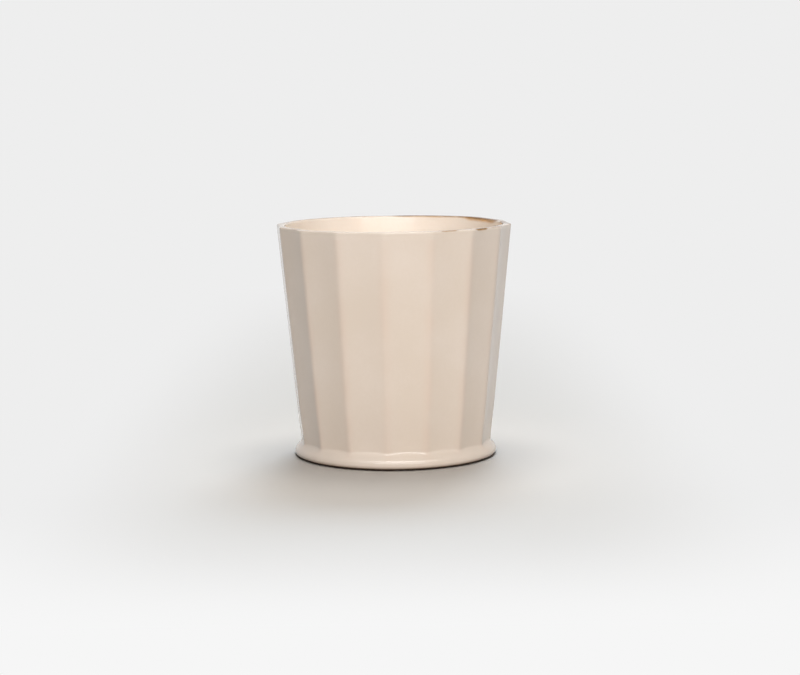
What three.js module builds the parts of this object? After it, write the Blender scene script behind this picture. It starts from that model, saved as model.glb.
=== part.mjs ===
// Faceted tumbler: a fired clay cup under four glaze coats.
// Millimetres, +Z up. The origin is on the cup's axis, on the table it stands on.
// The front of the cup faces -Y.
import * as THREE from "three";
import { mergeVertices } from "three/addons/utils/BufferGeometryUtils.js";

// Overall sizes
const HEIGHT = 87.4;
const RIM_DIAMETER = 88;
const WAIST_DIAMETER = 72.3;
const BEAD_DIAMETER = 76.5;

// Facets, measured at the lip
const FACETS = 16;
const FIRST_ARRIS_DEGREES = -4.7;
const FACET_HOLLOW = 0.26;
const ARRIS_RADIUS = 5.5;

// Foot: a round bead that the facets run out on, over a bare ring that stands in from it
const RING_DIAMETER = 70.8;
const RING_HEIGHT = 0.7;
const FOOT_EDGE_RADIUS = 0.7;
const BEAD_ROUND = 2.4;
const FACET_RUN = 2.2;
const WAIST_LEVEL = 6.3;

// Underside
const RECESS_DIAMETER = 61;
const RECESS_DEPTH = 2.2;
const RECESS_DRAFT = 1.2;
const FLOOR_CLAY = 3.6;

// Walls and lip, measured at the middle of a facet with both coats
const LIP_WALL = 2.2;
const WAIST_WALL = 3.2;
const FLOOR_FILLET = 8;
const CROWN_HEIGHT = 1.3;

// Glaze coats
const GLAZE = 0.4;
const CROWN_GLAZE = 0.25;
const RIM_BAND = 3;
const GLAZE_END_DEGREES = 30;

// Steps in which curves are divided
const FLARE_STEPS = 7;
const CROWN_STEPS = 6;
const FILLET_STEPS = 4;
const FOOT_EDGE_STEPS = 2;

const { degToRad, lerp } = THREE.MathUtils;

const rimRadius = RIM_DIAMETER / 2;
const waistRadius = WAIST_DIAMETER / 2;
const beadRadius = BEAD_DIAMETER / 2;
const ringRadius = RING_DIAMETER / 2;
const recessRadius = RECESS_DIAMETER / 2;

const beadLevel = RING_HEIGHT + FOOT_EDGE_RADIUS;
const crownLevel = HEIGHT - CROWN_HEIGHT;
const rimBandLevel = HEIGHT - RIM_BAND;
const floorLevel = RECESS_DEPTH + FLOOR_CLAY + GLAZE;

/** Evenly spaced shares from 0 to 1. */
function shares(steps) {
  return Array.from({ length: steps + 1 }, (_, step) => step / steps);
}

// Plan of one facet at the lip: a shallow hollow arc that runs into a rounded arris at each side
const halfPitch = Math.PI / FACETS;
const halfChord = rimRadius * Math.sin(halfPitch);
const hollowRadius = (halfChord ** 2 + FACET_HOLLOW ** 2) / (2 * FACET_HOLLOW);
const hollowCentre = rimRadius * Math.cos(halfPitch) - FACET_HOLLOW + hollowRadius;
const arrisCentre =
  hollowCentre * Math.cos(halfPitch) -
  Math.sqrt((hollowRadius + ARRIS_RADIUS) ** 2 - (hollowCentre * Math.sin(halfPitch)) ** 2);
const arrisReach = arrisCentre + ARRIS_RADIUS;

/** The angle from a facet's middle at which its hollow meets the rounded arris. */
function hollowEnd() {
  const middle = new THREE.Vector2(hollowCentre, 0);
  const corner = new THREE.Vector2(Math.cos(halfPitch), Math.sin(halfPitch)).multiplyScalar(arrisCentre);
  const towardCorner = corner.sub(middle).normalize();
  return middle.addScaledVector(towardCorner, hollowRadius).angle();
}

const hollowLimit = hollowEnd();

/** The plan's radius at an angle from a facet's middle, as a share of the radius at the arrises. */
function facetRatio(angle) {
  if (Math.abs(angle) <= hollowLimit) {
    const reach = Math.sqrt(hollowRadius ** 2 - (hollowCentre * Math.sin(angle)) ** 2);
    return (hollowCentre * Math.cos(angle) - reach) / arrisReach;
  }
  const fromArris = halfPitch - Math.abs(angle);
  const reach = Math.sqrt(ARRIS_RADIUS ** 2 - (arrisCentre * Math.sin(fromArris)) ** 2);
  return (arrisCentre * Math.cos(fromArris) + reach) / arrisReach;
}

const middleRatio = facetRatio(0);

/** The upright columns round the cup: the angle of each from the front, and its share of the arris radius. */
function cupColumns() {
  const offsets = [-halfPitch, -hollowLimit, -hollowLimit / 3, hollowLimit / 3, hollowLimit];
  const columns = [];
  for (let facet = 0; facet < FACETS; facet++) {
    const middle = degToRad(FIRST_ARRIS_DEGREES) + (2 * facet + 1) * halfPitch;
    for (const offset of offsets) {
      columns.push({ angle: middle + offset, ratio: facetRatio(offset) });
    }
  }
  return columns;
}

const columns = cupColumns();

/** How far up the wall a height is, from 0 at the waist to 1 at the lip. */
function wallShare(height) {
  return (height - WAIST_LEVEL) / (HEIGHT - WAIST_LEVEL);
}

/** The larger of two lengths, rounded over where they lie within a reach of each other. */
function softMax(first, second, reach) {
  const near = Math.max(0, reach - Math.abs(first - second));
  return Math.max(first, second) + near ** 2 / (4 * reach);
}

/** The outside radius at a height: tapered facets that run out softly on the foot's round bead. */
function outerRadius(column, height) {
  const wall = column.ratio * lerp(waistRadius, rimRadius, wallShare(height));
  const bead = beadRadius - Math.max(0, height - beadLevel) ** 2 / (2 * BEAD_ROUND);
  return softMax(wall, bead, FACET_RUN);
}

/** The round inside radius at a height, tapering from the lip to the floor. */
function innerRadius(height) {
  const atWaist = waistRadius * middleRatio - WAIST_WALL;
  const atLip = rimRadius * middleRatio - LIP_WALL;
  return lerp(atWaist, atLip, wallShare(height));
}

/** A point on the bead's rounded lower edge; the coat's face lies outside the clay by its thickness. */
function footEdgePoint(degrees, depth) {
  const angle = degToRad(degrees);
  const radius = FOOT_EDGE_RADIUS + GLAZE - depth;
  const centre = beadRadius - FOOT_EDGE_RADIUS - GLAZE;
  return [centre + radius * Math.cos(angle), beadLevel - radius * Math.sin(angle)];
}

/** The outside from the glaze's lower end to the rim band, moved in by a depth. */
function outerProfile(column, depth) {
  const flare = shares(FLARE_STEPS).map((share) => lerp(beadLevel, WAIST_LEVEL, share));
  return [
    footEdgePoint(GLAZE_END_DEGREES, depth),
    ...[...flare, rimBandLevel].map((height) => [outerRadius(column, height) - depth, height]),
  ];
}

/** The rim band: up the outside, over the rounded crown and down the inside. */
function rimProfile(column, depth, crownDepth) {
  const outside = outerRadius(column, crownLevel) - depth;
  const inside = innerRadius(crownLevel) + depth;
  const middle = (outside + inside) / 2;
  const crown = shares(CROWN_STEPS).map((share) => {
    const angle = share * Math.PI;
    const radius = middle + ((outside - inside) / 2) * Math.cos(angle);
    return [radius, crownLevel + (CROWN_HEIGHT - crownDepth) * Math.sin(angle)];
  });
  return [
    [outerRadius(column, rimBandLevel) - depth, rimBandLevel],
    ...crown,
    [innerRadius(rimBandLevel) + depth, rimBandLevel],
  ];
}

/** The inside from the rim band down, round the floor's fillet and in to the axis. */
function innerProfile(depth) {
  const lean = Math.atan2(innerRadius(HEIGHT) - innerRadius(WAIST_LEVEL), HEIGHT - WAIST_LEVEL);
  const centreHeight = floorLevel + FLOOR_FILLET;
  const centreRadius = innerRadius(centreHeight) - FLOOR_FILLET / Math.cos(lean);
  const fillet = shares(FILLET_STEPS).map((share) => {
    const angle = lerp(lean, Math.PI / 2, share);
    const radius = FLOOR_FILLET + depth;
    return [centreRadius + radius * Math.cos(angle), centreHeight - radius * Math.sin(angle)];
  });
  return [[innerRadius(rimBandLevel) + depth, rimBandLevel], ...fillet, [0, floorLevel - depth]];
}

/** The recess wall's radius at a height above the table. */
function recessWall(height) {
  return recessRadius - RECESS_DRAFT * (height / RECESS_DEPTH);
}

/** The bare clay between the recess glaze and the outer glaze: the ring and the bead's underside. */
function footRingProfile() {
  const edge = shares(FOOT_EDGE_STEPS).map((share) => {
    return footEdgePoint(lerp(90, GLAZE_END_DEGREES, share), GLAZE);
  });
  return [
    [recessWall(RECESS_DEPTH - GLAZE), RECESS_DEPTH - GLAZE],
    [recessRadius, 0],
    [ringRadius, 0],
    [ringRadius, RING_HEIGHT],
    ...edge,
  ];
}

/** The triangles swept by a profile of [radius, height] points round all columns. */
function sheet(profileAt) {
  const rings = columns.map((column) =>
    profileAt(column).map(
      ([radius, height]) =>
        new THREE.Vector3(radius * Math.sin(column.angle), -radius * Math.cos(column.angle), height),
    ),
  );
  const triangles = [];
  rings.forEach((ring, index) => {
    const next = rings[(index + 1) % rings.length];
    for (let step = 0; step + 1 < ring.length; step++) {
      triangles.push([ring[step], next[step], next[step + 1]], [ring[step], next[step + 1], ring[step + 1]]);
    }
  });
  return triangles.filter(([a, b, c]) => !a.equals(b) && !b.equals(c) && !c.equals(a));
}

/** The same triangles seen from their other side. */
function reversed(triangles) {
  return triangles.map(([a, b, c]) => [a, c, b]);
}

/** A closed piece bounded by sheets that meet edge to edge. */
function piece(name, sheets, finish) {
  const corners = sheets.flat(2).flatMap((corner) => corner.toArray());
  const open = new THREE.BufferGeometry();
  open.setAttribute("position", new THREE.Float32BufferAttribute(corners, 3));
  const geometry = mergeVertices(open);
  geometry.computeVertexNormals();
  const mesh = new THREE.Mesh(geometry, new THREE.MeshStandardMaterial({ metalness: 0, ...finish }));
  mesh.name = name;
  return mesh;
}

// Faces of the coats that show
const outerFace = sheet((column) => outerProfile(column, 0));
const rimFace = sheet((column) => rimProfile(column, 0, 0));
const innerFace = sheet(() => innerProfile(0));
const recessFace = sheet(() => [
  [0, RECESS_DEPTH - GLAZE],
  [recessWall(RECESS_DEPTH - GLAZE), RECESS_DEPTH - GLAZE],
]);

// Faces of the clay, each shared with the coat that covers it
const outerClay = sheet((column) => outerProfile(column, GLAZE));
const rimClay = sheet((column) => rimProfile(column, GLAZE, CROWN_GLAZE));
const innerClay = sheet(() => innerProfile(GLAZE));
const recessClay = sheet(() => [
  [0, RECESS_DEPTH],
  [recessWall(RECESS_DEPTH), RECESS_DEPTH],
]);
const recessSide = sheet(() => [
  [recessWall(RECESS_DEPTH), RECESS_DEPTH],
  [recessWall(RECESS_DEPTH - GLAZE), RECESS_DEPTH - GLAZE],
]);
const footRing = sheet(footRingProfile);

// Narrow edges through the coats, where one coat ends or meets the next
const outerGlazeEnd = sheet(() => [
  footEdgePoint(GLAZE_END_DEGREES, GLAZE),
  footEdgePoint(GLAZE_END_DEGREES, 0),
]);
const outerRimJoin = sheet((column) => [
  [outerRadius(column, rimBandLevel), rimBandLevel],
  [outerRadius(column, rimBandLevel) - GLAZE, rimBandLevel],
]);
const innerRimJoin = sheet(() => [
  [innerRadius(rimBandLevel) + GLAZE, rimBandLevel],
  [innerRadius(rimBandLevel), rimBandLevel],
]);

const cup = new THREE.Group();

cup.add(
  piece("clay_body", [recessClay, recessSide, footRing, outerClay, rimClay, innerClay], {
    color: 0xb8977a,
    roughness: 0.85,
  }),
  piece("outer_glaze", [outerFace, outerRimJoin, reversed(outerClay), outerGlazeEnd], {
    color: 0xdfcfbd,
    roughness: 0.16,
  }),
  piece("rim_glaze", [rimFace, reversed(innerRimJoin), reversed(rimClay), reversed(outerRimJoin)], {
    color: 0xa8794f,
    roughness: 0.18,
  }),
  piece("inner_glaze", [innerFace, reversed(innerClay), innerRimJoin], {
    color: 0xe8dac8,
    roughness: 0.16,
  }),
  piece("base_glaze", [recessFace, reversed(recessClay), reversed(recessSide)], {
    color: 0xdccbb6,
    roughness: 0.2,
  }),
);

export default cup;
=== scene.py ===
"""Faceted tumbler: a fired clay cup under a cream glaze, on a pale studio sweep.

Metres, +Z up. The cup stands on the origin and its front faces -Y.
Angles round the cup start at the front and grow towards +X.
"""
import math
from collections import namedtuple

import bmesh
import bpy
from bpy.props import FloatProperty, FloatVectorProperty, IntProperty, PointerProperty
from mathutils import Matrix, Vector


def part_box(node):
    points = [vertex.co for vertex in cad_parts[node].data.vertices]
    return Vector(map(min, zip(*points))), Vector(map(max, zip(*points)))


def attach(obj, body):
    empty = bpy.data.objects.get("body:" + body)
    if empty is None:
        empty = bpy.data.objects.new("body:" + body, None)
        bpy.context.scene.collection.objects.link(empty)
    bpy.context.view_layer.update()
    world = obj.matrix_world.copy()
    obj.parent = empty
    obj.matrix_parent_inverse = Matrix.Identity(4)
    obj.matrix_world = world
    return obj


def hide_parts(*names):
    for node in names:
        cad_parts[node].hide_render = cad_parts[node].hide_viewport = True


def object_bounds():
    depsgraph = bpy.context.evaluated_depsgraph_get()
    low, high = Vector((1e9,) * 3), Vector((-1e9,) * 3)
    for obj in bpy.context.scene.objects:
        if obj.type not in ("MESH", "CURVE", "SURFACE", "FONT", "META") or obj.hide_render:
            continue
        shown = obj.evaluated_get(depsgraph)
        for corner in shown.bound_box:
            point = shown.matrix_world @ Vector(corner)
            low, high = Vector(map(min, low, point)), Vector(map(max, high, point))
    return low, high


bl_info = {
    "name": "Faceted tumbler",
    "version": (1, 0, 0),
    "blender": (4, 5, 0),
    "location": "3D View > Sidebar > Tumbler",
    "description": "Builds a glazed, faceted tumbler and the studio stage that it stands on",
    "category": "Add Mesh",
}

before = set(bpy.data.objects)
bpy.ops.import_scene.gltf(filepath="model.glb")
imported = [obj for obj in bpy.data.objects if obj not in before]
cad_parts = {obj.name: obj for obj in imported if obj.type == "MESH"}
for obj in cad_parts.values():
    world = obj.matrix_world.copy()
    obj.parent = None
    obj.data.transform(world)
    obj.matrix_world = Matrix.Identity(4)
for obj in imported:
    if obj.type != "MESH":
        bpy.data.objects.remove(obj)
CAD_LOW, CAD_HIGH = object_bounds()
RIM_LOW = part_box("rim_glaze")[0]
RECESS_LOW, RECESS_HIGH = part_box("base_glaze")

# Fineness of the meshes
COLUMNS_PER_FACET = 20
FOOT_ROWS = 44
WALL_ROWS = 40
CROWN_ROWS = 20
FILLET_ROWS = 16
FLOOR_ROWS = 10
EDGE_ROWS = 10
HIDDEN_ROWS = 4
SHARP_CORNER = math.radians(50)
SAME_PLACE = 1e-7
FOOT_ROOM = 4

# Names of the collections that the lamps tell apart
CUP = "tumbler"
STAGE = "studio_sweep"

# How round the lip's two edges are: 1 is a half ellipse, and less is squarer
LIP_EDGE_OUTSIDE = 0.6
LIP_EDGE_INSIDE = 0.8

# Where the glaze begins to thin over an arris, as a share of a facet's hollow
THINNING_START = 0.7

# Irregularities of a hand-finished cup
SWAY_LOBES = 4
FOOT_LOBES = 2
LIP_WAVES = ((3, 0.4, 0.00007), (5, 1.9, 0.00005), (11, 0.8, 0.00003))
WALL_WAVES = ((2, 0.9, 35.0, 0.00005), (5, 2.2, 90.0, 0.00003), (9, 0.3, 160.0, 0.000015))

# Where the glaze breaks to iron on the lip, and the last a faint, wide darkening along the back left of the
# crest: middle and spread in degrees from the front, and strength
IRON_BREAKS = (
    (123, 24, 1.25),
    (157, 40, 0.85),
    (48, 7, 1.15),
    (28, 7, 0.80),
    (62, 10, 0.60),
    (92, 14, 1.10),
    (-57, 5, 0.55),
    # A faint, wide darkening along the back left of the crest
    (-132, 80, 0.52),
)
FAINTEST_BREAK = 0.1
BREAK_CORE = 0.4

# Finishes: features per metre and fineness of each noise, the range it is used in, and depths in metres
MOST_OF_NOISE = (0.3, 0.7)
WAVES = 60.0
WAVE_DEPTH = 0.00004
PEEL = 480.0
PEEL_DEPTH = 0.000004
GLOSS_PATCHES = (140.0, 4.0)
DRIFT = (34.0, 3.0)
DRIFT_RANGE = (0.35, 0.68)
MOTTLE = (900.0, 3.0)
MOTTLE_RANGE = (0.3, 0.75)
MOTTLE_SHARE = 0.35
THIN_PATCHES = 70.0
THIN_SHARE = (0.1, 0.5)
# How far the coat is mixed to the clay under the bead: partly bare clay, partly painted shade
BARE_AND_SHADE_SHARE = 0.8
UNEVEN = (110.0, 3.0)
UNEVEN_SHARE = (0.7, 1.1)
RAGGED = (260.0, 4.0)
RAGGED_RANGE = (0.3, 0.72)
RAGGED_SHARE = (0.7, 1.2)
AMBER_RANGE = (0.4, 1.0)
AMBER_SHARE = 0.9
IRON_RANGE = (0.05, 0.9)
IRON_SHARE = 0.95
GRIT = (1500.0, 4.0)
GRIT_RANGE = (0.55, 0.72)
GRIT_SHARE = 0.8
MATT_PATCHES = 700.0
GRAIN = (2200.0, 4.0)
GRAIN_DEPTH = 0.00006

# Roughness of the finishes, from the glossiest to the dullest places
CREAM_GLOSS = (0.07, 0.12)
LINER_GLOSS = (0.20, 0.28)
RECESS_GLOSS = (0.10, 0.16)
CLAY_GLOSS = (0.75, 0.95)
PAPER_ROUGHNESS = 0.9
PAPER_SHEEN = 0.1

# The sweep's form, and the distances from the cup between which it pales
SWEEP_FRONT = -4.0
SWEEP_BACK = 1.2
SWEEP_BEND = 0.8
SWEEP_TOP = 3.0
SWEEP_HALF_WIDTH = 4.0
SWEEP_ROWS = 32
PALING_ASIDE = (0.04, 0.13)
PALING_AHEAD = (-0.08, -0.25)
PALING_BEHIND = (0.08, 0.6)

# Where the far lamps hang: azimuth from the front, elevation from the table, and width, in degrees
FRONT_LAMP = (6, 15, 60)
BACK_LAMP = (172, 58, 50)
HIGH_LAMP = (172, 82, 40)
LOW_LAMP = (172, 48, 25)
FAR = 1.0

# The strip lamp's place in degrees, its distance and sides in metres, and how wide it shines
STRIP_LAMP = (6, 41)
STRIP_DISTANCE = 1.0
STRIP_WIDTH = 1.8
STRIP_DEPTH = 0.13
STRIP_BEAM = math.radians(110)

# Brightness of the surround, and the camera's sensor in millimetres
SURROUND = 0.72
SENSOR_WIDTH = 36.0


def from_srgb(red, green, blue):
    """A scene-linear colour from display values of 0 to 255."""
    def linear(level):
        share = level / 255
        return share / 12.92 if share <= 0.04045 else ((share + 0.055) / 1.055) ** 2.4
    return linear(red), linear(green), linear(blue)


def length(name, description, default):
    """A size in metres that a user may change."""
    return FloatProperty(
        name=name, description=description, default=default, min=0.0, unit="LENGTH", precision=5
    )


def turn(name, description, degrees):
    """An angle that a user may change."""
    return FloatProperty(
        name=name, description=description, default=math.radians(degrees), subtype="ANGLE"
    )


def tint(name, description, default):
    """A colour that a user may change."""
    return FloatVectorProperty(
        name=name, description=description, default=default, size=3, min=0.0, max=1.0, subtype="COLOR"
    )


def level(name, description, default):
    """A plain number that a user may change."""
    return FloatProperty(name=name, description=description, default=default, min=0.0)


class TumblerSizes(bpy.types.PropertyGroup):
    """Sizes of the cup, its facets, its foot and its coats."""

    height: length("Height", "From the table to the top of the lip", CAD_HIGH.z)
    rim_radius: length("Lip radius", "Over the arrises, at the lip", 0.04427)
    waist_radius: length("Waist radius", "Over the arrises, where the taper meets the waist", 0.0365)
    waist_level: length("Waist level", "Height of the waist, just above the foot", 0.0063)
    waist_draw: length("Waist draw", "How far the wall draws in at the waist", 0.0003)
    waist_reach: length("Waist reach", "Height in which the wall draws in", 0.016)
    bead_radius: length("Bead radius", "Widest round of the foot", 0.03825)

    facets: IntProperty(name="Facets", description="Number of flutes round the cup", default=16, min=3)
    facet_hollow: length("Facet hollow", "Depth of a facet's dish at the lip", 0.00026)
    arris_radius: length("Arris radius", "Rounding of the edge between two facets", 0.0055)
    first_arris: turn("First arris", "Angle of one arris from the front", -4.7)
    arris_sway: turn("Arris sway", "How far the arrises stray from an even spacing", 0.35)

    ring_radius: length("Ring radius", "Outside of the bare ring that the cup stands on", 0.0354)
    ring_height: length("Ring height", "Gap between the table and the bead's underside", 0.00015)
    foot_edge: length("Foot edge", "Rounding under the bead", 0.0013)
    bead_round: length("Bead round", "Rounding of the bead towards the facets", 0.0023)
    facet_run: length("Facet run-out", "How softly the facets run out on the bead", 0.0015)
    foot_wave: length("Foot wave", "How far the bead rises and falls round the cup", 0.0004)

    ring_wear: length("Ring wear", "Rounding of the bare ring's edges", 0.00012)
    recess_radius: length("Recess radius", "Hollow under the foot, at the table", 0.0305)
    recess_depth: length("Recess depth", "From the table to the clay under the floor", RECESS_HIGH.z)
    recess_draft: length("Recess draft", "How far the recess wall leans in", 0.0012)
    floor_clay: length("Floor", "Thickness of the clay floor", 0.0036)

    lip_wall: length("Lip wall", "Wall thickness at the lip, in the middle of a facet", 0.0022)
    waist_wall: length("Waist wall", "Wall thickness at the waist, in the middle of a facet", 0.0032)
    floor_fillet: length("Floor fillet", "Rounding between the wall and the floor inside", 0.008)
    crown_height: length("Crown", "Height of the lip's rounded top", 0.0008)

    glaze: length("Glaze", "Thickness of a coat", RECESS_HIGH.z - RECESS_LOW.z)
    crown_glaze: length("Crown glaze", "Thickness of the coat on top of the lip", 0.00025)
    rim_level: length("Rim level", "Height at which the lip's coat begins", RIM_LOW.z)
    glaze_end: turn("Glaze end", "How far the coat reaches round the bead's lower edge", 36)
    glaze_roll: turn("Glaze roll", "Stretch in which the coat's lower end rounds off", 20)
    iron_outside: length("Break outside", "How far the iron break reaches down outside the lip", 0.0012)
    iron_inside: length("Break inside", "How far the iron break reaches down inside the lip", 0.0024)
    iron_crest: length("Break crest", "How far the dark of the iron break reaches down", 0.0009)
    # The coat's darkening towards the clay under the bead is partly the coat thinning to bare clay and partly
    # painted shade.
    baring_shade_start: length("Baring start", "How far above the bead's edge the coat begins to thin", 0.0006)
    baring_shade_reach: length("Baring reach", "Height in which the coat thins towards the bare clay", 0.0018)


class TumblerColours(bpy.types.PropertyGroup):
    """Colours of the clay and the glazes."""

    cream: tint("Cream", "Main colour of the glaze outside", from_srgb(223, 207, 192))
    cream_pooled: tint("Pooled cream", "Where the glaze lies thicker", from_srgb(219, 202, 185))
    cream_thin: tint("Thin cream", "Where the glaze thins over an edge", from_srgb(220, 196, 178))
    # The liner is the cream glaze painted lighter: painted light for the brighter inside of the bowl, pooled
    # shade included.
    liner: tint("Liner", "Main colour of the glaze inside", from_srgb(249, 237, 224))
    liner_pooled: tint("Pooled liner", "Where the liner lies thicker", from_srgb(245, 230, 214))
    amber: tint("Amber", "Edge of the iron break", from_srgb(222, 168, 98))
    iron: tint("Iron", "Middle of the iron break", from_srgb(126, 86, 34))
    # Darker than the fired clay alone: painted shade for the dark gap between the bead and the table.
    clay: tint("Clay", "Bare fired clay", from_srgb(112, 86, 64))
    clay_grit: tint("Grit", "Darker grains in the bare clay", from_srgb(76, 56, 40))


class TumblerStage(bpy.types.PropertyGroup):
    """Camera, sweep and lamps."""

    camera_distance: length("Camera distance", "From the aim to the camera", 0.78892)
    camera_elevation: turn("Camera elevation", "Height of the camera over the table", 7.374)
    camera_roll: turn("Camera roll", "Tilt of the picture", -0.574)
    aim_aside: length("Aim aside", "How far right of the axis the camera aims", 0.002034)
    aim_height: length("Aim height", "How high over the table the camera aims", 0.04405)
    lens: level("Lens", "Focal length in millimetres on a 36 mm sensor", 93.68)

    sweep: tint("Sweep", "Floor near the cup", from_srgb(246, 246, 246))
    sweep_bounce: tint("Sweep bounce", "What the floor scatters on the cup", from_srgb(196, 196, 196))
    backdrop: tint("Backdrop", "Paled floor and backdrop far from the cup", from_srgb(238, 238, 238))
    # Paler than the backdrop: a painted pool of light on the floor nearest the camera.
    foreground_with_painted_light: tint("Foreground", "Paled floor towards the camera", from_srgb(246, 246, 246))
    front_lamp: level("Front lamp", "Strength of the wide lamp beside the camera, on the cup", 2.0)
    back_lamp: level("Back lamp", "Strength of the lamp above and behind, on the cup", 2.12)
    strip_lamp: level("Strip lamp", "Power of the long lamp over the camera, on the cup, in watts", 2.5)
    high_lamp: level("High lamp", "Strength of the warm lamp high behind, on the sweep", 1.68)
    low_lamp: level("Low lamp", "Strength of the cool lamp lower behind, on the sweep", 1.25)
    high_tint: tint("High tint", "Colour of the high lamp", (1.0, 0.93, 0.845))
    low_tint: tint("Low tint", "Colour of the low lamp", (0.79, 0.905, 1.0))


Column = namedtuple("Column", "angle ratio arris")


def blend(low, high, share):
    """The value that lies a share of the way from low to high."""
    return low + (high - low) * share


def ease(value, start, end):
    """0 before start, 1 after end, and a smooth rise between them."""
    share = min(1.0, max(0.0, (value - start) / (end - start)))
    return share * share * (3 - 2 * share)


def soft_max(first, second, reach):
    """The larger of two values, rounded over where they lie within a reach of each other."""
    near = max(0.0, reach - abs(first - second))
    return max(first, second) + near**2 / (4 * reach)


def shares(steps):
    """Evenly spaced shares from 0 to 1."""
    return [step / steps for step in range(steps + 1)]


def between(start, end, steps):
    """Evenly spaced values from start to end."""
    return [blend(start, end, share) for share in shares(steps)]


class CupForm:
    """The cup's form: its plan outline, radii and upright profiles, worked out from the sizes."""

    def __init__(self, sizes):
        self.sizes = sizes
        self.bead_level = sizes.ring_height + sizes.foot_edge
        self.foot_top = sizes.waist_level + FOOT_ROOM * sizes.foot_wave
        self.crown_level = sizes.height - sizes.crown_height
        self.floor_level = sizes.recess_depth + sizes.floor_clay + sizes.glaze
        self.plan_facet()
        self.columns = self.make_columns()

    def plan_facet(self):
        """The plan of one facet at the lip: a shallow hollow arc between two rounded arrises."""
        sizes = self.sizes
        self.half_pitch = math.pi / sizes.facets
        half_chord = sizes.rim_radius * math.sin(self.half_pitch)
        self.hollow_radius = (half_chord**2 + sizes.facet_hollow**2) / (2 * sizes.facet_hollow)
        deepest = sizes.rim_radius * math.cos(self.half_pitch) - sizes.facet_hollow
        self.hollow_centre = deepest + self.hollow_radius
        aside = self.hollow_centre * math.sin(self.half_pitch)
        reach = math.sqrt((self.hollow_radius + sizes.arris_radius) ** 2 - aside**2)
        self.arris_centre = self.hollow_centre * math.cos(self.half_pitch) - reach
        self.arris_reach = self.arris_centre + sizes.arris_radius
        middle = Vector((self.hollow_centre, 0))
        corner = Vector((math.cos(self.half_pitch), math.sin(self.half_pitch))) * self.arris_centre
        touch = middle + (corner - middle).normalized() * self.hollow_radius
        self.hollow_limit = math.atan2(touch.y, touch.x)
        self.middle_ratio = self.facet_ratio(0)

    def facet_ratio(self, offset):
        """The plan's radius at an angle from a facet's middle, as a share of that at the arrises."""
        if abs(offset) <= self.hollow_limit:
            reach = math.sqrt(self.hollow_radius**2 - (self.hollow_centre * math.sin(offset)) ** 2)
            return (self.hollow_centre * math.cos(offset) - reach) / self.arris_reach
        from_arris = self.half_pitch - abs(offset)
        reach = math.sqrt(self.sizes.arris_radius**2 - (self.arris_centre * math.sin(from_arris)) ** 2)
        return (self.arris_centre * math.cos(from_arris) + reach) / self.arris_reach

    def make_columns(self):
        """Upright columns round the cup, closest together at the arrises."""
        sizes = self.sizes
        columns = []
        for facet in range(sizes.facets):
            middle = sizes.first_arris + (2 * facet + 1) * self.half_pitch
            for step in range(COLUMNS_PER_FACET):
                offset = self.half_pitch * math.sin((step / COLUMNS_PER_FACET - 0.5) * math.pi)
                even = middle + offset
                angle = even + sizes.arris_sway * math.sin(SWAY_LOBES * (even - sizes.first_arris))
                arris = ease(abs(offset), THINNING_START * self.hollow_limit, self.half_pitch)
                columns.append(Column(angle, self.facet_ratio(offset), arris))
        return columns

    def wall_share(self, height):
        """How far up the wall a height is, from 0 at the waist to 1 at the lip."""
        return (height - self.sizes.waist_level) / (self.sizes.height - self.sizes.waist_level)

    def outer_radius(self, column, height):
        """The outside: tapered facets that run out softly on the foot's round bead."""
        sizes = self.sizes
        wall = column.ratio * blend(sizes.waist_radius, sizes.rim_radius, self.wall_share(height))
        drawn_to = sizes.waist_level + sizes.waist_reach
        wall -= sizes.waist_draw * (1 - ease(height, sizes.waist_level, drawn_to))
        for lobes, phase, climb, swell in WALL_WAVES:
            wall += swell * math.sin(lobes * column.angle + phase + climb * height)
        level = self.bead_level + sizes.foot_wave * (1 + math.cos(FOOT_LOBES * column.angle))
        bead = sizes.bead_radius - max(0.0, height - level) ** 2 / (2 * sizes.bead_round)
        return soft_max(wall, bead, sizes.facet_run)

    def inner_radius(self, height):
        """The round inside, tapering from the lip to the floor."""
        at_waist = self.sizes.waist_radius * self.middle_ratio - self.sizes.waist_wall
        at_lip = self.sizes.rim_radius * self.middle_ratio - self.sizes.lip_wall
        return blend(at_waist, at_lip, self.wall_share(height))

    def lip_rise(self, angle):
        """How much higher the lip is at an angle than its even height."""
        return sum(swell * math.sin(lobes * angle + phase) for lobes, phase, swell in LIP_WAVES)

    def foot_edge_point(self, angle, depth):
        """A point on the bead's rounded lower edge, a depth under the coat's face."""
        sizes = self.sizes
        radius = sizes.foot_edge + sizes.glaze - depth
        centre = sizes.bead_radius - sizes.foot_edge - sizes.glaze
        return centre + radius * math.cos(angle), self.bead_level - radius * math.sin(angle)

    def glaze_end_profile(self):
        """The coat's lower end, which rounds off onto the clay."""
        sizes = self.sizes
        points = []
        for angle in between(sizes.glaze_end, 0, EDGE_ROWS):
            share = min(1.0, (sizes.glaze_end - angle) / sizes.glaze_roll)
            depth = sizes.glaze * (1 - math.sqrt(1 - (1 - share) ** 2))
            points.append(self.foot_edge_point(angle, depth))
        return points

    def outer_heights(self, foot_rows, wall_rows):
        """Heights of the rows up the outside, above the foot's lower edge."""
        foot = between(self.bead_level, self.foot_top, foot_rows)
        wall = between(self.foot_top, self.sizes.rim_level, wall_rows)
        return foot[1:] + wall[1:]

    def outer_clay_profile(self, column):
        """The clay's outside under the coat, from the coat's end up to the rim band."""
        glaze = self.sizes.glaze
        angles = between(self.sizes.glaze_end, 0, HIDDEN_ROWS)
        edge = [self.foot_edge_point(angle, glaze) for angle in angles]
        heights = self.outer_heights(4 * HIDDEN_ROWS, HIDDEN_ROWS)
        return edge + [(self.outer_radius(column, height) - glaze, height) for height in heights]

    def outer_coat_loop(self, column):
        """The coat outside: up its face and back down against the clay."""
        heights = self.outer_heights(FOOT_ROWS, WALL_ROWS)
        face = [(self.outer_radius(column, height), height) for height in heights]
        return self.glaze_end_profile() + face + self.outer_clay_profile(column)[::-1]

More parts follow.
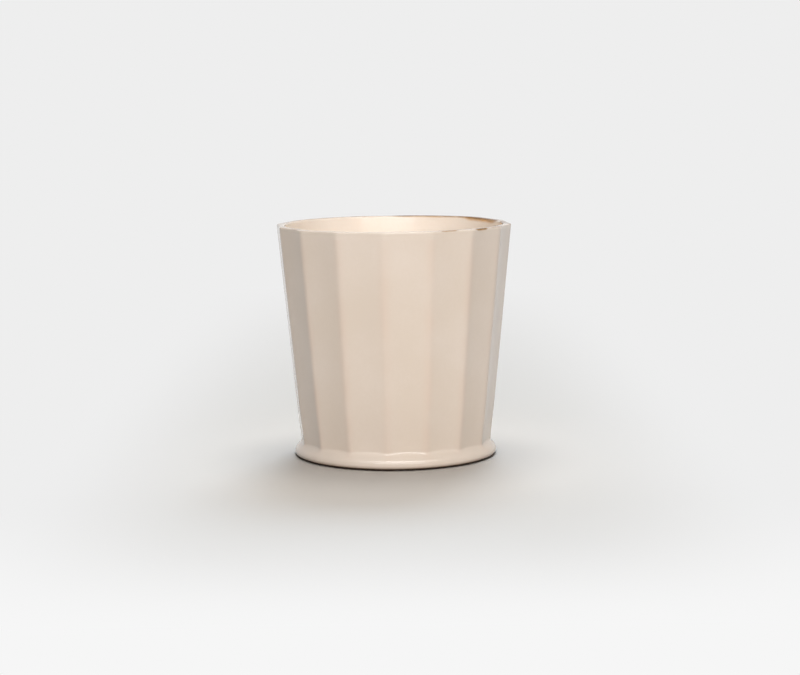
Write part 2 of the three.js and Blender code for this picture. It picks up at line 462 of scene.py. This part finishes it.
    def crown_profile(self, column, depth, crown_depth, steps):
        """Over the rounded lip, from its outside to its inside."""
        outside = self.outer_radius(column, self.crown_level) - depth
        inside = self.inner_radius(self.crown_level) + depth
        rise = self.sizes.crown_height + self.lip_rise(column.angle) - crown_depth
        points = []
        for turned in between(0, math.pi, steps):
            power = LIP_EDGE_OUTSIDE if turned < math.pi / 2 else LIP_EDGE_INSIDE
            across = math.copysign(abs(math.cos(turned)) ** power, math.cos(turned))
            radius = (outside + inside) / 2 + (outside - inside) / 2 * across
            points.append((radius, self.crown_level + rise * abs(math.sin(turned)) ** power))
        return points

    def rim_profile(self, column, depth, crown_depth, steps, side_rows):
        """The rim band: up the outside, over the crown and down the inside."""
        heights = between(self.sizes.rim_level, self.crown_level, side_rows)[:-1]
        up = [(self.outer_radius(column, height) - depth, height) for height in heights]
        down = [(self.inner_radius(height) + depth, height) for height in heights[::-1]]
        return up + self.crown_profile(column, depth, crown_depth, steps) + down

    def rim_coat_loop(self, column):
        """The coat over the lip: across its face and back against the clay."""
        sizes = self.sizes
        face = self.rim_profile(column, 0, 0, CROWN_ROWS, HIDDEN_ROWS)
        clay = self.rim_profile(column, sizes.glaze, sizes.crown_glaze, 2 * HIDDEN_ROWS, HIDDEN_ROWS)
        return face + clay[::-1] + face[:1]

    def inner_profile(self, depth, wall_rows, fillet_rows, floor_rows):
        """The inside from the rim band down, round the floor's fillet and in to the axis."""
        sizes = self.sizes
        widening = self.inner_radius(sizes.height) - self.inner_radius(sizes.waist_level)
        lean = math.atan2(widening, sizes.height - sizes.waist_level)
        centre_height = self.floor_level + sizes.floor_fillet
        centre_radius = self.inner_radius(centre_height) - sizes.floor_fillet / math.cos(lean)
        radius = sizes.floor_fillet + depth
        fillet = [
            (centre_radius + radius * math.cos(angle), centre_height - radius * math.sin(angle))
            for angle in between(lean, math.pi / 2, fillet_rows)
        ]
        heights = between(sizes.rim_level, fillet[0][1], wall_rows)[:-1]
        wall = [(self.inner_radius(height) + depth, height) for height in heights]
        reaches = between(fillet[-1][0], 0, floor_rows)[1:]
        floor = [(reach, self.floor_level - depth) for reach in reaches]
        return wall + fillet + floor

    def inner_coat_loop(self, column):
        """The liner coat: down its face to the axis and back up against the clay."""
        face = self.inner_profile(0, WALL_ROWS, FILLET_ROWS, FLOOR_ROWS)
        clay = self.inner_profile(self.sizes.glaze, HIDDEN_ROWS, FILLET_ROWS, 1)
        return face + clay[::-1] + face[:1]

    def recess_wall(self, height):
        """The recess wall's radius at a height above the table."""
        return self.sizes.recess_radius - self.sizes.recess_draft * height / self.sizes.recess_depth

    def recess_coat_loop(self, column):
        """The coat in the recess: out from the axis with a rounded edge, and back against the clay."""
        sizes = self.sizes
        face_level = sizes.recess_depth - sizes.glaze
        wall = self.recess_wall(face_level)
        flat_end = wall - sizes.glaze
        flat = [(reach, face_level) for reach in between(0, flat_end, FLOOR_ROWS)]
        climb = [
            (flat_end + sizes.glaze * math.sin(turned), face_level - sizes.glaze * (1 - math.cos(turned)))
            for turned in between(0, math.pi / 2, EDGE_ROWS)[1:]
        ]
        clay = [(self.recess_wall(sizes.recess_depth), sizes.recess_depth), (0, sizes.recess_depth)]
        return flat + climb + clay

    def ring_profile(self):
        """The bare ring with its two worn edges, and the corner between it and the bead's underside."""
        sizes = self.sizes
        wear = sizes.ring_wear
        turns = between(0, math.pi / 2, HIDDEN_ROWS)
        inner = [
            (sizes.recess_radius + wear * (1 - math.cos(turned)), wear * (1 - math.sin(turned)))
            for turned in turns
        ]
        outer = [
            (sizes.ring_radius - wear * (1 - math.sin(turned)), wear * (1 - math.cos(turned)))
            for turned in turns
        ]
        flat = [(reach, 0) for reach in between(inner[-1][0], outer[0][0], FLOOR_ROWS)[1:-1]]
        return inner + flat + outer + [(sizes.ring_radius, sizes.ring_height)]

    def clay_loop(self, column):
        """The clay: under its floor, over the bare ring, up outside, over the lip and down inside."""
        sizes = self.sizes
        recess = [(0, sizes.recess_depth), (self.recess_wall(sizes.recess_depth), sizes.recess_depth)]
        edge = [
            self.foot_edge_point(angle, sizes.glaze)
            for angle in between(math.pi / 2, sizes.glaze_end, EDGE_ROWS)
        ]
        outside = self.outer_clay_profile(column)[1:]
        lip = self.rim_profile(column, sizes.glaze, sizes.crown_glaze, 2 * HIDDEN_ROWS, HIDDEN_ROWS)[1:]
        inside = self.inner_profile(sizes.glaze, HIDDEN_ROWS, FILLET_ROWS, 1)[1:]
        return recess + self.ring_profile() + edge + outside + lip + inside

    def thinness(self, column, height):
        """How thin the glaze is over an arris, fading out on the round foot."""
        return column.arris * ease(height, self.bead_level, self.sizes.waist_level)

    def baring_and_painted_shade(self, height):
        """How far the coat darkens towards the clay under the bead: partly the coat thinning to bare clay,
        partly painted shade on the bead's underside.
        """
        return ease(self.bead_level + self.sizes.baring_shade_start - height, 0, self.sizes.baring_shade_reach)

    def lip_depth(self, column, height):
        """How far a place lies under the top of the lip."""
        return self.sizes.height + self.lip_rise(column.angle) - height

    def iron_down(self, column, height, reach):
        """How strong the iron break is at a height; a strong one reaches further down than a faint one."""
        strength = iron_at(column.angle)
        lowest = reach * max(strength, FAINTEST_BREAK)
        return strength * (1 - ease(self.lip_depth(column, height), 0, lowest))

    def iron_crest(self, column, radius, height):
        """How far the glaze breaks to dark iron along the crest of the lip."""
        return self.iron_down(column, height, self.sizes.iron_crest)

    def iron_halo(self, column, radius, height):
        """How far the amber edge of the iron break reaches down from the lip."""
        middle = (self.outer_radius(column, self.crown_level) + self.inner_radius(self.crown_level)) / 2
        reach = self.sizes.iron_outside if radius > middle else self.sizes.iron_inside
        return self.iron_down(column, height, reach)


def iron_at(angle):
    """The strength of the iron break at an angle round the lip."""
    return max(break_strength(angle, *spot) for spot in IRON_BREAKS)


def break_strength(angle, middle, spread, strength):
    """The strength of one stretch of iron break at an angle round the lip."""
    away = math.remainder(angle - math.radians(middle), 2 * math.pi)
    return strength * (1 - ease(abs(away), BREAK_CORE * math.radians(spread), math.radians(spread)))


def loft(name, form, loop_at, tones):
    """A smooth piece swept round the cup from upright loops, with named tones kept on its points."""
    shell = bmesh.new()
    layers = {tone: shell.verts.layers.float.new(tone) for tone in tones}
    rings = []
    for column in form.columns:
        ring = []
        for radius, height in loop_at(column):
            point = (radius * math.sin(column.angle), -radius * math.cos(column.angle), height)
            vertex = shell.verts.new(point)
            for tone, amount in tones.items():
                vertex[layers[tone]] = amount(column, radius, height)
            ring.append(vertex)
        rings.append(ring)
    for ring, following in zip(rings, rings[1:] + rings[:1]):
        for low in range(len(ring) - 1):
            shell.faces.new((ring[low], following[low], following[low + 1], ring[low + 1]))
    bmesh.ops.remove_doubles(shell, verts=shell.verts, dist=SAME_PLACE)
    bmesh.ops.dissolve_degenerate(shell, edges=shell.edges, dist=SAME_PLACE)
    mesh = bpy.data.meshes.new(name)
    shell.to_mesh(mesh)
    shell.free()
    mesh.shade_smooth()
    mesh.set_sharp_from_angle(angle=SHARP_CORNER)
    piece = bpy.data.objects.new(name, mesh)
    kept_in(CUP).objects.link(piece)
    return piece


def kept_in(name):
    """The collection of a name, made at first use."""
    group = bpy.data.collections.get(name)
    if group is None:
        group = bpy.data.collections.new(name)
        bpy.context.scene.collection.children.link(group)
    return group


def dress(piece, material, node):
    """Gives a piece its finish and its place in the frame."""
    piece.data.materials.append(material)
    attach(piece, "root")
    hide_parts(node)


class Finish:
    """A material in the making, with short calls to add its nodes."""

    def __init__(self, name):
        self.material = bpy.data.materials.new(name)
        self.material.use_nodes = True
        self.tree = self.material.node_tree
        self.surface = self.tree.nodes["Principled BSDF"]
        self.place = self.add("ShaderNodeTexCoord").outputs["Object"]

    def add(self, kind, inputs=None, **settings):
        """A new node with its settings, and its inputs set to values or linked to outputs."""
        node = self.tree.nodes.new(kind)
        for setting, value in settings.items():
            setattr(node, setting, value)
        for socket, value in (inputs or {}).items():
            self.feed(node.inputs[socket], value)
        return node

    def coat(self, colour, roughness, normal=None):
        """Gives the surface its colour, its roughness and its relief."""
        self.feed(self.surface.inputs["Base Color"], colour)
        self.feed(self.surface.inputs["Roughness"], roughness)
        if normal:
            self.feed(self.surface.inputs["Normal"], normal)

    def feed(self, socket, value):
        """Links an output to a socket, or sets the socket to a plain value."""
        if isinstance(value, bpy.types.NodeSocket):
            self.tree.links.new(value, socket)
        else:
            socket.default_value = value

    def noise(self, scale, detail=2.0):
        """Cloudy noise of a scale in features per metre."""
        inputs = {"Vector": self.place, "Scale": scale, "Detail": detail}
        return self.add("ShaderNodeTexNoise", inputs).outputs["Fac"]

    def spread(self, value, start, end, low, high, way="LINEAR"):
        """A value moved from one range to another and kept inside it."""
        inputs = {"Value": value, "From Min": start, "From Max": end, "To Min": low, "To Max": high}
        return self.add("ShaderNodeMapRange", inputs, interpolation_type=way).outputs["Result"]

    def seen(self):
        """1 for rays from the camera and for those reflected or let through, 0 for scattered light."""
        path = self.add("ShaderNodeLightPath").outputs
        mirrored = self.math("MAXIMUM", path["Is Glossy Ray"], path["Is Transmission Ray"])
        return self.math("MAXIMUM", path["Is Camera Ray"], mirrored)

    def tone(self, name):
        """A tone kept on the piece's points."""
        return self.add("ShaderNodeAttribute", attribute_name=name).outputs["Fac"]

    def math(self, operation, first, second):
        """A sum, product or the like of two values."""
        return self.add("ShaderNodeMath", {0: first, 1: second}, operation=operation).outputs["Value"]

    def mix(self, share, first, second):
        """A colour between two colours."""
        node = self.add("ShaderNodeMix", {0: share, 6: first, 7: second}, data_type="RGBA")
        return node.outputs[2]

    def bump(self, height, depth, under=None):
        """Relief of a depth in metres, on top of another relief where there is one."""
        inputs = {"Height": height, "Distance": depth}
        if under:
            inputs["Normal"] = under
        return self.add("ShaderNodeBump", inputs).outputs["Normal"]


def opaque(colour):
    """A colour with full alpha."""
    return (*colour, 1.0)


def glazed(finish, colour, gloss):
    """Coats a finish with the slow waves and fine orange peel of a melted glaze, and its uneven gloss."""
    waves = finish.bump(finish.noise(WAVES), WAVE_DEPTH)
    relief = finish.bump(finish.noise(PEEL), PEEL_DEPTH, waves)
    finish.coat(colour, finish.spread(finish.noise(*GLOSS_PATCHES), *MOST_OF_NOISE, *gloss), relief)
    return finish.material


def clouded(finish, main, pooled):
    """Two shades of one glaze, drifting into each other, with a fine mottle."""
    drift = finish.spread(finish.noise(*DRIFT), *DRIFT_RANGE, 0.0, 1.0)
    mottle = finish.spread(finish.noise(*MOTTLE), *MOTTLE_RANGE, 0.0, MOTTLE_SHARE)
    share = finish.math("MINIMUM", finish.math("ADD", drift, mottle), 1.0)
    return finish.mix(share, opaque(main), opaque(pooled))


def cream_glaze(colours):
    """Glossy cream glaze, thinner and warmer over the arrises, and mixed towards the dark clay under the
    bead, partly as the coat thinning and partly as painted shade.
    """
    finish = Finish("cream_glaze")
    body = clouded(finish, colours.cream, colours.cream_pooled)
    patches = finish.spread(finish.noise(THIN_PATCHES), *MOST_OF_NOISE, *THIN_SHARE)
    worn = finish.mix(finish.math("MULTIPLY", finish.tone("thin"), patches), body, opaque(colours.cream_thin))
    # Partly painted shade: the coat is mixed towards the dark clay on the bead's underside.
    bared_and_shaded = finish.math("MULTIPLY", finish.tone("bare"), BARE_AND_SHADE_SHARE)
    return glazed(finish, finish.mix(bared_and_shaded, worn, opaque(colours.clay)), CREAM_GLOSS)


def iron_rim_glaze(colours):
    """Cream outside and liner inside, which break through amber to iron brown on the lip."""
    finish = Finish("iron_rim")
    outside = clouded(finish, colours.cream, colours.cream_pooled)
    # Painted light: the inside of the lip takes the liner, which is painted lighter than the cream.
    inside = clouded(finish, colours.liner, colours.liner_pooled)
    body = finish.mix(finish.tone("lined"), outside, inside)
    uneven = finish.spread(finish.noise(*UNEVEN), *MOST_OF_NOISE, *UNEVEN_SHARE)
    ragged = finish.spread(finish.noise(*RAGGED), *RAGGED_RANGE, *RAGGED_SHARE)
    halo = finish.spread(finish.math("MULTIPLY", finish.tone("halo"), uneven), *AMBER_RANGE, 0.0, AMBER_SHARE)
    crest = finish.spread(finish.math("MULTIPLY", finish.tone("crest"), ragged), *IRON_RANGE, 0.0, IRON_SHARE)
    amber = finish.mix(halo, body, opaque(colours.amber))
    return glazed(finish, finish.mix(crest, amber, opaque(colours.iron)), CREAM_GLOSS)


def liner_glaze(colours):
    """Smooth glossy liner glaze, painted lighter than the cream as painted light for the brighter inside of
    the bowl.
    """
    finish = Finish("liner_glaze")
    return glazed(finish, clouded(finish, colours.liner, colours.liner_pooled), LINER_GLOSS)


def recess_glaze(colours):
    """The same cream glaze, thicker in the recess."""
    finish = Finish("base_glaze")
    return glazed(finish, clouded(finish, colours.cream_pooled, colours.cream), RECESS_GLOSS)


def bare_clay(colours):
    """Matt fired clay with darker grit and a fine grain; its colour is darkened as painted shade for the gap
    under the bead.
    """
    finish = Finish("bare_clay")
    grit = finish.spread(finish.noise(*GRIT), *GRIT_RANGE, 0.0, GRIT_SHARE)
    colour = finish.mix(grit, opaque(colours.clay), opaque(colours.clay_grit))
    roughness = finish.spread(finish.noise(MATT_PATCHES), *MOST_OF_NOISE, *CLAY_GLOSS)
    finish.coat(colour, roughness, finish.bump(finish.noise(*GRAIN), GRAIN_DEPTH))
    return finish.material


class TUMBLER_OT_fired_clay(bpy.types.Operator):
    """Builds the clay cup with its bare foot ring"""

    bl_idname = "tumbler.fired_clay"
    bl_label = "Fired clay"

    def execute(self, context):
        form = CupForm(context.scene.tumbler_sizes)
        piece = loft("fired_clay", form, form.clay_loop, {})
        dress(piece, bare_clay(context.scene.tumbler_colours), "clay_body")
        return {"FINISHED"}


class TUMBLER_OT_facet_coat(bpy.types.Operator):
    """Builds the cream coat over the facets and the foot"""

    bl_idname = "tumbler.facet_coat"
    bl_label = "Facet coat"

    def execute(self, context):
        form = CupForm(context.scene.tumbler_sizes)
        tones = {
            "thin": lambda column, radius, height: form.thinness(column, height),
            # Partly the coat baring to clay, partly painted shade under the bead.
            "bare": lambda column, radius, height: form.baring_and_painted_shade(height),
        }
        piece = loft("facet_coat", form, form.outer_coat_loop, tones)
        dress(piece, cream_glaze(context.scene.tumbler_colours), "outer_glaze")
        return {"FINISHED"}


class TUMBLER_OT_lip_coat(bpy.types.Operator):
    """Builds the coat over the lip, with its iron break"""

    bl_idname = "tumbler.lip_coat"
    bl_label = "Lip coat"

    def execute(self, context):
        form = CupForm(context.scene.tumbler_sizes)
        inside = form.inner_radius(form.crown_level)
        outside = inside + form.sizes.lip_wall
        tones = {
            "crest": form.iron_crest,
            "halo": form.iron_halo,
            "lined": lambda column, radius, height: 1.0 - ease(radius, inside, outside),
        }
        piece = loft("lip_coat", form, form.rim_coat_loop, tones)
        dress(piece, iron_rim_glaze(context.scene.tumbler_colours), "rim_glaze")
        return {"FINISHED"}


class TUMBLER_OT_bowl_coat(bpy.types.Operator):
    """Builds the liner coat inside the bowl"""

    bl_idname = "tumbler.bowl_coat"
    bl_label = "Bowl coat"

    def execute(self, context):
        form = CupForm(context.scene.tumbler_sizes)
        piece = loft("bowl_coat", form, form.inner_coat_loop, {})
        dress(piece, liner_glaze(context.scene.tumbler_colours), "inner_glaze")
        return {"FINISHED"}


class TUMBLER_OT_recess_coat(bpy.types.Operator):
    """Builds the coat in the recess under the foot"""

    bl_idname = "tumbler.recess_coat"
    bl_label = "Recess coat"

    def execute(self, context):
        form = CupForm(context.scene.tumbler_sizes)
        piece = loft("recess_coat", form, form.recess_coat_loop, {})
        dress(piece, recess_glaze(context.scene.tumbler_colours), "base_glaze")
        return {"FINISHED"}


def place_camera(stage):
    """The camera at the photograph's angle and framing."""
    data = bpy.data.cameras.new("camera")
    data.sensor_fit = "HORIZONTAL"
    data.sensor_width = SENSOR_WIDTH
    data.lens = stage.lens
    camera = bpy.data.objects.new("camera", data)
    upright = Matrix.Rotation(math.pi / 2 - stage.camera_elevation, 4, "X")
    aim = Matrix.Translation((stage.aim_aside, 0, stage.aim_height))
    back_off = Matrix.Translation((0, 0, stage.camera_distance))
    camera.matrix_world = aim @ upright @ Matrix.Rotation(stage.camera_roll, 4, "Z") @ back_off
    bpy.context.scene.collection.objects.link(camera)
    bpy.context.scene.camera = camera


def sweep_paper(stage):
    """Matt paper that pales away from the cup, and bounces less light than the camera sees on it."""
    finish = Finish("sweep_paper")
    seen = finish.seen()
    finish.coat(finish.mix(seen, opaque(stage.sweep_bounce), opaque(stage.sweep)), PAPER_ROUGHNESS)
    finish.feed(finish.surface.inputs["Specular IOR Level"], PAPER_SHEEN)
    place = finish.add("ShaderNodeSeparateXYZ", {0: finish.place}).outputs
    either_side = finish.math("ABSOLUTE", place["X"], 0.0)
    aside = finish.spread(either_side, *PALING_ASIDE, 1.0, 0.0, "SMOOTHSTEP")
    ahead = finish.spread(place["Y"], *PALING_AHEAD, 1.0, 0.0, "SMOOTHSTEP")
    behind = finish.spread(place["Y"], *PALING_BEHIND, 1.0, 0.0)
    shaded = finish.math("MULTIPLY", aside, finish.math("MULTIPLY", ahead, behind))
    # Towards the camera the paled floor is brighter, a painted pool of light.
    pale = finish.mix(ahead, opaque(stage.foreground_with_painted_light), opaque(stage.backdrop))
    glow = finish.add("ShaderNodeEmission", {0: pale})
    far = finish.math("SUBTRACT", 1.0, shaded)
    paled = finish.add("ShaderNodeMixShader", {0: finish.math("MULTIPLY", far, seen)})
    finish.feed(paled.inputs[1], finish.surface.outputs["BSDF"])
    finish.feed(paled.inputs[2], glow.outputs["Emission"])
    finish.feed(finish.tree.nodes["Material Output"].inputs["Surface"], paled.outputs["Shader"])
    return finish.material


def lay_sweep(stage):
    """A pale floor that bends up into a backdrop."""
    bend = [
        (SWEEP_BACK + SWEEP_BEND * math.sin(turned), SWEEP_BEND * (1 - math.cos(turned)))
        for turned in between(0, math.pi / 2, SWEEP_ROWS)
    ]
    line = [(SWEEP_FRONT, 0), *bend, (SWEEP_BACK + SWEEP_BEND, SWEEP_TOP)]
    points = [(side, *place) for place in line for side in (-SWEEP_HALF_WIDTH, SWEEP_HALF_WIDTH)]
    faces = [(2 * row, 2 * row + 1, 2 * row + 3, 2 * row + 2) for row in range(len(line) - 1)]
    mesh = bpy.data.meshes.new("sweep")
    mesh.from_pydata(points, [], faces)
    mesh.shade_smooth()
    mesh.materials.append(sweep_paper(stage))
    sweep = bpy.data.objects.new("sweep", mesh)
    sweep.visible_shadow = False
    kept_in(STAGE).objects.link(sweep)


def hang(name, data, azimuth, elevation, distance):
    """Hangs a lamp so that it faces the cup, with its azimuth and elevation in degrees."""
    azimuth = math.radians(azimuth)
    elevation = math.radians(elevation)
    side = math.cos(elevation)
    away = Vector((math.sin(azimuth) * side, -math.cos(azimuth) * side, math.sin(elevation)))
    lamp = bpy.data.objects.new(name, data)
    lamp.location = Vector((0, 0, CAD_HIGH.z / 2)) + away * distance
    lamp.rotation_euler = away.to_track_quat("Z", "Y").to_euler()
    lamp.visible_camera = False
    bpy.context.scene.collection.objects.link(lamp)
    return lamp


def hang_far(name, place, strength, colour=(1.0, 1.0, 1.0)):
    """A far, round and soft lamp."""
    azimuth, elevation, width = place
    data = bpy.data.lights.new(name, "SUN")
    data.energy = strength
    data.angle = math.radians(width)
    data.color = colour
    return hang(name, data, azimuth, elevation, FAR)


def hang_strip(name, place, power):
    """A long, narrow lamp close by."""
    data = bpy.data.lights.new(name, "AREA")
    data.shape = "RECTANGLE"
    data.size = STRIP_WIDTH
    data.size_y = STRIP_DEPTH
    data.spread = STRIP_BEAM
    data.energy = power
    return hang(name, data, *place, STRIP_DISTANCE)


def light_cup(stage):
    """A soft front lamp, a back lamp and a long strip, which light the cup and not the sweep."""
    front = hang_far("front_lamp", FRONT_LAMP, stage.front_lamp)
    back = hang_far("back_lamp", BACK_LAMP, stage.back_lamp)
    strip = hang_strip("strip_lamp", STRIP_LAMP, stage.strip_lamp)
    for lamp in (front, back, strip):
        lamp.light_linking.receiver_collection = kept_in(CUP)


def light_sweep(stage):
    """Two lamps behind that throw the cup's shadow forwards, warm next to the foot."""
    high = hang_far("high_lamp", HIGH_LAMP, stage.high_lamp, stage.high_tint)
    low = hang_far("low_lamp", LOW_LAMP, stage.low_lamp, stage.low_tint)
    for lamp in (high, low):
        lamp.light_linking.receiver_collection = kept_in(STAGE)


def light_world():
    """A pale surround that only the camera and reflections see."""
    world = bpy.data.worlds.new("studio")
    world.use_nodes = True
    bpy.context.scene.world = world
    tree = world.node_tree
    path = tree.nodes.new("ShaderNodeLightPath")
    seen = path.outputs["Is Camera Ray"]
    for ray in ("Is Glossy Ray", "Is Transmission Ray"):
        either = tree.nodes.new("ShaderNodeMath")
        either.operation = "MAXIMUM"
        tree.links.new(seen, either.inputs[0])
        tree.links.new(path.outputs[ray], either.inputs[1])
        seen = either.outputs["Value"]
    background = tree.nodes["Background"]
    background.inputs["Color"].default_value = opaque((SURROUND, SURROUND, SURROUND))
    tree.links.new(seen, background.inputs["Strength"])


class TUMBLER_OT_stage(bpy.types.Operator):
    """Sets up the camera, the sweep and the lamps"""

    bl_idname = "tumbler.stage"
    bl_label = "Stage"

    def execute(self, context):
        stage = context.scene.tumbler_stage
        context.scene.view_settings.view_transform = "Standard"
        place_camera(stage)
        lay_sweep(stage)
        light_cup(stage)
        light_sweep(stage)
        light_world()
        return {"FINISHED"}


class VIEW3D_PT_tumbler(bpy.types.Panel):
    """Lists the tumbler's pieces, its sizes and its colours"""

    bl_idname = "VIEW3D_PT_tumbler"
    bl_label = "Faceted tumbler"
    bl_space_type = "VIEW_3D"
    bl_region_type = "UI"
    bl_category = "Tumbler"

    def draw(self, context):
        for operator in OPERATORS:
            self.layout.operator(operator.bl_idname)
        scene = context.scene
        for group in (scene.tumbler_sizes, scene.tumbler_colours, scene.tumbler_stage):
            column = self.layout.column(align=True)
            for name in group.__annotations__:
                column.prop(group, name)


OPERATORS = (
    TUMBLER_OT_fired_clay,
    TUMBLER_OT_facet_coat,
    TUMBLER_OT_lip_coat,
    TUMBLER_OT_bowl_coat,
    TUMBLER_OT_recess_coat,
    TUMBLER_OT_stage,
)
CLASSES = (TumblerSizes, TumblerColours, TumblerStage, *OPERATORS, VIEW3D_PT_tumbler)


def register():
    """Makes the classes and the scene's settings known."""
    for member in CLASSES:
        bpy.utils.register_class(member)
    bpy.types.Scene.tumbler_sizes = PointerProperty(type=TumblerSizes)
    bpy.types.Scene.tumbler_colours = PointerProperty(type=TumblerColours)
    bpy.types.Scene.tumbler_stage = PointerProperty(type=TumblerStage)


def unregister():
    """Takes the settings and the classes away again."""
    del bpy.types.Scene.tumbler_stage
    del bpy.types.Scene.tumbler_colours
    del bpy.types.Scene.tumbler_sizes
    for member in reversed(CLASSES):
        bpy.utils.unregister_class(member)


def main():
    """Builds the tumbler and its stage."""
    register()
    bpy.ops.tumbler.fired_clay()
    bpy.ops.tumbler.facet_coat()
    bpy.ops.tumbler.lip_coat()
    bpy.ops.tumbler.bowl_coat()
    bpy.ops.tumbler.recess_coat()
    bpy.ops.tumbler.stage()
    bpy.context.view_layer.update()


if __name__ == "__main__":
    main()
